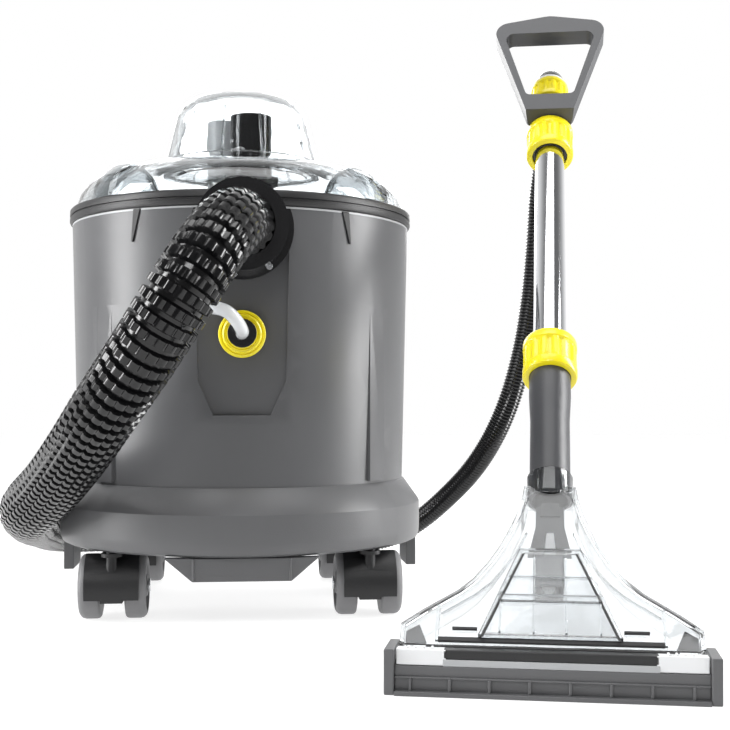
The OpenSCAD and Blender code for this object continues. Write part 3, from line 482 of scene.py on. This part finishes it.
# ---- Rim seal ----
# A black rubber ring pressed round the tank's rim. It has two lips with a fine groove
# between them, and arches over the hose socket.
seal_ring = spun([(0.1840, 0.4125), (0.1862, 0.4130), (0.1870, 0.4150), (0.1868, 0.4178), (0.1852, 0.4184),
                  (0.1852, 0.4202), (0.1868, 0.4208), (0.1866, 0.4262), (0.1850, 0.4278), (0.1660, 0.4278),
                  (0.1660, 0.4120)], steps=192, inner=[(0.1840, 0.4120)])
fixed(settled("Rim_Seal", seal_ring, 50), "canister", rubber_and_painted_edge_black, "black_rubber", "rim_seal")

# ---- Hose socket ----
# A black glossy collar screwed to the front wall with two small screws. The hose is
# pushed into it.
gloss_black = moulded("Gloss_Black", (0.010, 0.010, 0.011), 0.16, grain=400, depth=0.008, tint=0.2, coat=0.4)
dressed("hose_port_collar", "Hose_Socket", "canister", gloss_black, "black_plastic", 0.0014, 0.2)
steel = moulded("Turned_Steel", (0.62, 0.63, 0.65), 0.24, grain=1500, depth=0.02, tint=0.05, metal=1.0)
dressed("port_screws", "Socket_Screws", "canister", steel, "steel", 0.0003)

# ---- Spray coupling ----
# The quick coupling for the cleaning water: a black spigot fixed in the recess, and a
# yellow release ring in stepped rounds that is pushed to let the tube go.
yellow = moulded("Yellow_Nylon", (0.830, 0.700, 0.006), 0.30, grain=800, depth=0.02, tint=0.05, coat=0.25)
dressed("coupling_body", "Coupling_Body", "canister", gloss_black, "black_plastic", 0.0006, 0.2)
ring_profile = [(0.0230, 0.0), (0.0230, 0.0064), (0.0222, 0.0074), (0.0206, 0.0078), (0.0200, 0.0070),
                (0.0194, 0.0070), (0.0188, 0.0108), (0.0178, 0.0118), (0.0158, 0.0120), (0.0152, 0.0112),
                (0.0147, 0.0112), (0.0142, 0.0144), (0.0134, 0.0150), (0.0124, 0.0150)]
ring_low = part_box("coupling_ring")[1][1]
ring = moved(spun(ring_profile, inner=[(0.0124, 0.0)]), Matrix.Rotation(math.pi / 2, 4, "X"),
             Matrix.Translation((0.0, ring_low, 0.287)))
fixed(settled("Coupling_Ring", ring, 30), "coupling_ring", yellow, "yellow", "coupling_ring")

# ---- Recovery tank and works ----
# The pieces that the tank and the base hold: the bucket for dirty water, the air standpipe,
# the motor with its impeller, and the pump. They are plain mouldings behind the outer walls.
grey_light = moulded("Grey_Light", (0.42, 0.43, 0.44), 0.35, grain=900, depth=0.02, tint=0.04)
grey_dark = moulded("Grey_Dark", (0.050, 0.051, 0.056), 0.36, grain=1000, depth=0.03, tint=0.08)
cast_metal = moulded("Cast_Metal", (0.70, 0.71, 0.72), 0.35, grain=600, depth=0.05, tint=0.06, metal=1.0)
white_plastic = moulded("White_Plastic", (0.80, 0.81, 0.82), 0.30,
                         grain=900, depth=0.015, tint=0.02, coat=0.2)
dressed("recovery_tank", "Recovery_Tank", "canister", grey_light, "grey_light", 0.0008, 0.2)
dressed("standpipe", "Air_Standpipe", "canister", gloss_black, "black_plastic", 0.0006, 0.2)
dressed("motor_housing", "Motor_Housing", "canister", grey_dark, "grey_dark", 0.0010, 0.2)
dressed("impeller", "Impeller", "impeller", cast_metal, "aluminium", 0.0003, 0.2)
dressed("pump_body", "Pump", "canister", grey_dark, "grey_dark", 0.0015, 0.2)

# ---- Rear panel ----
# The switch housing, its two rocker switches, the cable gland and the exhaust grille
# are black and dark grey mouldings snapped to the tank's rear wall.
dressed("control_panel", "Switch_Housing", "canister", grey_dark, "grey_dark", 0.0025, 0.2)
dressed("suction_switch", "Suction_Switch", "suction_switch", gloss_black, "black_plastic", 0.0005, 0.2)
dressed("spray_switch", "Spray_Switch", "spray_switch", gloss_black, "black_plastic", 0.0005, 0.2)
dressed("cable_gland", "Cable_Gland", "canister", rubber_and_painted_edge_black, "black_rubber", 0.0008, 0.2)
dressed("exhaust_grille", "Exhaust_Grille", "canister", grey_dark, "grey_dark", 0.0006, 0.2)

# ---- Lid ----
# The lid is one clear polycarbonate moulding with a flat land for the turret, and two
# rounded hand holds at the front corners. Thick edges catch the light.
clear = clear_plastic("Clear_Lid", (0.70, 0.72, 0.73), 0.02)
lid_outer = [(0.0740, 0.4800), (0.0900, 0.4800), (0.0935, 0.4790), (0.1020, 0.4770), (0.1250, 0.4722),
             (0.1480, 0.4650), (0.1600, 0.4590), (0.1700, 0.4510), (0.1765, 0.4420), (0.1795, 0.4330),
             (0.1800, 0.4282)]
lid_inner = [(0.1768, 0.4282), (0.1762, 0.4330), (0.1733, 0.4408), (0.1672, 0.4488), (0.1580, 0.4560),
             (0.1466, 0.4618), (0.1240, 0.4690), (0.1000, 0.4740), (0.0740, 0.4765)]
lid = spun(lid_outer, steps=192, inner=lid_inner)
fixed(settled("Lid_Shell", lid, 28), "lid", clear, "clear", "lid_shell")
land = spun([(0.0735, 0.4742), (0.0735, 0.4770), (0.0240, 0.4770), (0.0240, 0.4742)],
            steps=96, inner=[(0.0730, 0.4742)])
fixed(settled("Lid_Land", land), "lid", clear, "clear")
for s in (-1, 1):
    hold = bmesh.new()
    bmesh.ops.create_uvsphere(hold, u_segments=48, v_segments=32, radius=1.0)
    moved(hold, Matrix.Diagonal((0.027, 0.047, 0.0415, 1.0)))
    bmesh.ops.bisect_plane(hold, geom=hold.verts[:] + hold.edges[:] + hold.faces[:], plane_co=(0, 0, 0.0035),
                           plane_no=(0, 0, -1), clear_outer=True)
    moved(hold, Matrix.Translation((0.1505, 0, 0.4262)), Matrix.Rotation(math.radians(-90 + s * 52), 4, "Z"))
    bmesh.ops.solidify(hold, geom=hold.faces, thickness=0.003)
    bmesh.ops.recalc_face_normals(hold, faces=hold.faces)
    piece = settled("Hand_Hold_" + ("Left" if s < 0 else "Right"), hold, 40)
    fixed(piece, "lid", clear, "clear")

# ---- Turret ----
# The clear dome over the float and the standpipe. It is moulded with upright ribs inside
# its shoulder, and its foot is glued to the lid's land.
dome = spun([(0.0880, 0.4802), (0.0880, 0.4828), (0.0840, 0.4850), (0.0720, 0.5330), (0.0690, 0.5415),
             (0.0640, 0.5480), (0.0560, 0.5530), (0.0420, 0.5565), (0.0220, 0.5585), (0.0, 0.5590)],
            steps=128)
dome_in = spun([(0.0790, 0.4802), (0.0680, 0.5320), (0.0650, 0.5395), (0.0600, 0.5450), (0.0530, 0.5497),
                (0.0400, 0.5532), (0.0210, 0.5552), (0.0, 0.5557)], steps=128)
bmesh.ops.reverse_faces(dome_in, faces=dome_in.faces)
added(dome, dome_in)
edges = [e for e in dome.edges if e.is_boundary]
bmesh.ops.bridge_loops(dome, edges=edges)
bmesh.ops.recalc_face_normals(dome, faces=dome.faces)
fixed(settled("Turret_Dome", dome, 28), "lid", clear, "clear", "turret_dome")
ribs = bmesh.new()
for k in range(12):
    rib = prism([(0.0835, 0.4818), (0.0790, 0.4818), (0.0672, 0.5360), (0.0705, 0.5360)], -0.0009, 0.0009)
    moved(rib, Matrix.Rotation(math.pi / 2, 4, "X"), Matrix.Rotation(math.radians(15 + 30 * k), 4, "Z"))
    added(ribs, rib)
turret_ribs = settled("Turret_Ribs", ribs)
fixed(turret_ribs, "lid", clear, "clear")
dressed("float_cage", "Float_Cage", "lid", white_plastic, "white", 0.0006, 0.2)
dressed("float", "Float", "float", white_plastic, "white", 0.0010, 0.2)
dressed("seal_cup", "Standpipe_Seal", "lid", rubber_and_painted_edge_black, "black_rubber", 0.0010, 0.2)

# ---- Casters ----
# Four twin-wheel casters. Each has a black hood moulded with its stem, a steel axle, and two
# grey wheels with a soft tread, a pale rim and a dished hub.
hood_black = moulded("Hood_Black", (0.008, 0.008, 0.009), 0.45, grain=900, depth=0.04, tint=0.2)
tread_grey = moulded("Tread_Grey", (0.17, 0.17, 0.175), 0.50, grain=1300, depth=0.05, tint=0.06)
WHEEL_W = 0.022
for corner in ("front_left", "front_right", "rear_left", "rear_right"):
    body = "caster_" + corner
    dressed("caster_hood_" + corner, "Caster_Hood_" + corner, body, hood_black, "black_plastic", 0.0008, 0.2)
    dressed("caster_axle_" + corner, "Caster_Axle_" + corner, body, steel, "steel", 0.0005, 0.2)
    for side, way in (("left", -1), ("right", 1)):
        node = "caster_wheel_%s_%s" % (corner, side)
        low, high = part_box(node)
        centre = (Vector(low) + Vector(high)) / 2
        wheel = spun([(0.00405, 0.0002), (0.0285, 0.0002), (0.0310, 0.0006), (0.0325, 0.0020),
                      (0.0330, 0.0045),
                      (0.0330, 0.0150), (0.0322, 0.0185), (0.0300, 0.0208), (0.0280, 0.0218),
                      (0.0262, 0.0218),
                      (0.0250, 0.0208), (0.0240, 0.0185), (0.0130, 0.0180), (0.0120, 0.0190),
                      (0.0105, 0.0216),
                      (0.00405, 0.0216)], steps=72, inner=[(0.00405, 0.0100)])
        moved(wheel, Matrix.Translation((0, 0, -WHEEL_W / 2)), Matrix.Rotation(way * math.pi / 2, 4, "Y"),
              Matrix.Translation(centre))
        fixed(settled("Wheel_%s_%s" % (corner, side), wheel, 35), node, tread_grey, "wheel_grey", node)

# ---- Wand tube and nuts ----
# A chromed steel tube clamped between yellow union nuts: the lower nut holds it to the
# nozzle's neck, the upper one to the grip, and the small one holds the hose cuff.
WAND_PLACE = Matrix.Translation((0.229, -0.485, 0.0)) @ Matrix.Rotation(math.radians(-14), 4, "Z")
TUBE_PLACE = WAND_PLACE @ Matrix.Translation((0, 0.0406, 0)) @ Matrix.Rotation(math.radians(-41), 4, "X")
chrome = moulded("Chrome", (0.78, 0.79, 0.81), 0.10, grain=160, depth=0.006, tint=0.03, metal=1.0)
tube = spun([(0.0160, 0.319), (0.0160, 0.763)], steps=96, inner=[(0.0148, 0.763), (0.0148, 0.319)])
fixed(settled("Chrome_Tube", moved(tube, TUBE_PLACE), 40), "wand", chrome, "chrome", "chrome_tube")


def knurled_nut(radius, bore, height, flutes):
    """A union nut: plain rims at both ends and broad rounded flutes between them."""
    outer = [(bore, 0.0), (radius - 0.0025, 0.0), (radius - 0.0008, 0.0006), (radius, 0.0022),
             (radius, height * 0.20), (radius - 0.0010, height * 0.23)]
    outer += [(radius - 0.0006, height * (0.26 + 0.06 * k)) for k in range(9)]
    outer += [(radius - 0.0010, height * 0.77), (radius, height * 0.80), (radius, height - 0.0022),
              (radius - 0.0008, height - 0.0006), (radius - 0.0025, height), (bore, height)]
    mesh = spun(outer, steps=flutes * 8, inner=[(bore, height * 0.5)])
    for v in mesh.verts:
        share = v.co.z / height
        reach = math.hypot(v.co.x, v.co.y)
        if 0.24 < share < 0.76 and reach > (radius + bore) / 2:
            wave = math.cos(math.atan2(v.co.y, v.co.x) * flutes)
            cut = 0.0020 * max(0.0, min(1.0, 0.5 - wave * 1.6))
            v.co.x *= 1 - cut / reach
            v.co.y *= 1 - cut / reach
    return mesh


for name, node, at, size in (("Lower_Nut", "lower_nut", 0.322, (0.026, 0.0199, 0.044, 14)),
                             ("Upper_Nut", "upper_nut", 0.655, (0.026, 0.0194, 0.044, 14)),
                             ("Hose_Nut", "hose_nut", 0.749, (0.0215, 0.0176, 0.032, 14))):
    nut = moved(knurled_nut(*size), Matrix.Translation((0, 0, at)), TUBE_PLACE)
    fixed(settled(name, nut, 30), node, yellow, "yellow", node)
dressed("neck_tube", "Neck_Tube", "wand", grey_dark, "grey_dark", 0.0008, 0.2)
cuff_band = spun([(0.0173, 0.7812), (0.0186, 0.7816), (0.0186, 0.7868), (0.0173, 0.7872)],
                 inner=[(0.0168, 0.7842)])
fixed(settled("Cuff_Band", moved(cuff_band, TUBE_PLACE), 40), "wand", white_plastic, "white")
dressed("hose_cuff", "Hose_Cuff", "wand", gloss_black, "black_plastic", 0.0006, 0.2)

# ---- Grip ----
# A closed D grip moulded in dark grey nylon with a soft round section. Its collar runs
# over the tube and is clamped by the upper nut.
dressed("grip_handle", "Grip", "grip", grey_dark, "grey_dark", 0.0060, 0.2)

# ---- Floor nozzle ----
# A wide clear cover screwed over a grey back, so the dirty water can be seen. Under it a
# clear ribbed plate guides the spray, and a grey bar with a ribbed lip closes the mouth.
clear_nozzle = clear_plastic("Clear_Nozzle", (0.80, 0.815, 0.825), 0.025)
dressed("nozzle_cover", "Nozzle_Cover", "wand", clear_nozzle, "clear", 0.0008, 0.2)
dressed("jet_cover", "Jet_Cover", "wand", clear_nozzle, "clear", 0.0006, 0.2)
dressed("inner_tunnel", "Inner_Tunnel", "wand", grey_dark, "grey_dark", 0.0008, 0.2)
dressed("spray_jet", "Spray_Jet", "wand", white_plastic, "white", 0.0)

# The nozzle's own frame, and the frame of its sloping cover: Y runs up the slope.
SLOPE_PLACE = WAND_PLACE @ Matrix.Rotation(math.radians(45), 4, "X")


def block(low, high):
    """A block between two corners."""
    corners = [(low[0], low[1]), (high[0], low[1]), (high[0], high[1]), (low[0], high[1])]
    return prism(corners, low[2], high[2])


# Clear ribs and ridges moulded on the cover: uprights, two cross ridges and a thick edge.
ribbing = bmesh.new()
UPRIGHTS = ((-0.039, 0.054, 0.092), (-0.0125, 0.054, 0.134), (0.0125, 0.054, 0.134), (0.039, 0.054, 0.092))
for x, low, high in UPRIGHTS:
    added(ribbing, block((x - 0.0008, low, 0.0055), (x + 0.0008, high, 0.0085)))
added(ribbing, block((-0.033, 0.1070, 0.0055), (0.033, 0.1082, 0.0080)))
added(ribbing, block((-0.041, 0.0835, 0.0055), (0.041, 0.0895, 0.0090)))
NOZZLE_HALF = 0.117
SEAL_HALF = 0.0805
EDGE = [(NOZZLE_HALF, 0.046), (NOZZLE_HALF, 0.063), (0.100, 0.077), (0.074, 0.096), (0.062, 0.108),
        (0.050, 0.126), (0.041, 0.143), (0.034, 0.160), (0.028, 0.177), (0.024, 0.194), (0.022, 0.208)]
for s in (-1, 1):
    band = [(s * x, y) for x, y in EDGE] + [(s * (x - 0.0038), y - 0.0012) for x, y in reversed(EDGE)]
    added(ribbing, prism(band, 0.0002, 0.0032))
    inner = [(s * (x - 0.014), y - 0.003) for x, y in EDGE[2:8]]
    inner += [(s * (x - 0.0155), y - 0.003) for x, y in reversed(EDGE[2:8])]
    added(ribbing, prism(inner, 0.0002, 0.0026))
    added(ribbing, block((s * 0.088 - 0.0012, 0.048, 0.0002), (s * 0.088 + 0.0012, 0.082, 0.0030)))
cover_ribs = rounded(settled("Cover_Ribs", moved(ribbing, SLOPE_PLACE)), 0.0004)
fixed(cover_ribs, "wand", clear_nozzle, "clear")

# The suction throat behind the cover: a dark duct that widens downward, with a black mouth
# at the neck and a pale spray jet in it, and a dark wedge that fills each end of the cover.
throat = prism([(-0.0185, 0.1345), (0.0185, 0.1345), (0.0080, 0.1880), (-0.0080, 0.1880)], -0.0052, -0.0040)
for s in (-1, 1):
    wedge = [(s * 0.1130, 0.0490), (s * 0.1130, 0.0600), (s * 0.1030, 0.0665), (s * 0.0960, 0.0490)]
    added(throat, prism(wedge, -0.0052, -0.0040))
fixed(rounded(settled("Suction_Throat", moved(throat, SLOPE_PLACE)), 0.0004), "wand", grey_dark, "grey_dark")
mouth = prism([(-0.0085, 0.1780), (0.0085, 0.1780), (0.0075, 0.1930), (-0.0075, 0.1930)], -0.0038, -0.0028)
# Painted shade: two thin black strips along the sides of the clear jet cover stand in for its dark edges. The
# mouth at the neck is a real black part.
for s in (-1, 1):
    side = [(s * 0.0205, 0.1320), (s * 0.0225, 0.1320), (s * 0.0540, 0.0500), (s * 0.0515, 0.0500)]
    added(mouth, prism(side, 0.0056, 0.0064))
throat_mouth_and_painted_edges = rounded(settled("Throat_Mouth_And_Painted_Edges", moved(mouth, SLOPE_PLACE)), 0.0003)
fixed(throat_mouth_and_painted_edges, "wand", rubber_and_painted_edge_black, "black_rubber")
jet = prism([(-0.0050, 0.1390), (0.0050, 0.1390), (0.0030, 0.1600), (-0.0030, 0.1600)], -0.0038, -0.0022)
fixed(rounded(settled("Jet_Tip", moved(jet, SLOPE_PLACE)), 0.0006), "wand", white_plastic, "white")

# Black rubber lips that close the cover on the bar.
lips = block((-0.087, 0.0475, 0.0002), (0.087, 0.0515, 0.0030))
for s in (-1, 1):
    added(lips, block((s * 0.0665 - 0.0098, 0.0590, 0.0002), (s * 0.0665 + 0.0098, 0.0612, 0.0028)))
fixed(rounded(settled("Cover_Lips", moved(lips, SLOPE_PLACE)), 0.0004), "wand", rubber_and_painted_edge_black, "black_rubber")
seal = block((-SEAL_HALF, 0.001, 0.0272), (SEAL_HALF, 0.012, 0.0345))
added(seal, block((-0.0960, 0.0125, 0.0272), (0.0960, 0.0150, 0.0355)))
fixed(rounded(settled("Seal_Strip", moved(seal, WAND_PLACE)), 0.0010), "wand", rubber_and_painted_edge_black, "black_rubber",
      "seal_strip")
seal_base = block((-SEAL_HALF, 0.0004, 0.0220), (SEAL_HALF, 0.0116, 0.0272))
fixed(rounded(settled("Seal_Base", moved(seal_base, WAND_PLACE)), 0.0005), "wand", grey_light, "grey_light")

# The mouth bar: an upright front with a step along its middle, eight short ribs under the
# step, and a rounded lip that slides on the carpet.
bar = block((-NOZZLE_HALF, 0.0, 0.0), (NOZZLE_HALF, 0.008, 0.022))
added(bar, block((-NOZZLE_HALF, -0.0022, 0.0126), (NOZZLE_HALF, 0.0005, 0.0142)))
added(bar, block((-NOZZLE_HALF, -0.0070, 0.0), (NOZZLE_HALF, 0.0010, 0.0036)))
added(bar, block((-NOZZLE_HALF, 0.0280, 0.0), (NOZZLE_HALF, 0.0350, 0.0080)))
for k in range(8):
    x = -0.105 + k * 0.210 / 7
    added(bar, block((x - 0.0012, -0.0030, 0.0030), (x + 0.0012, 0.0005, 0.0130)))
for s in (-1, 1):
    added(bar, block((s * 0.114 - 0.003, 0.0010, 0.0), (s * 0.114 + 0.003, 0.0310, 0.0210)))
mouth_bar = rounded(settled("Mouth_Bar", moved(bar, WAND_PLACE)), 0.0007)
fixed(mouth_bar, "wand", grey_base, "grey_base", "mouth_bar")
for side in ("left", "right"):
    lock = "slide_lock_" + side
    dressed(lock, "Slide_Lock_" + side, lock, white_plastic, "white", 0.0006, 0.2)
    dressed("end_cap_" + side, "End_Cap_" + side, "wand", grey_base, "grey_base", 0.0010, 0.2)
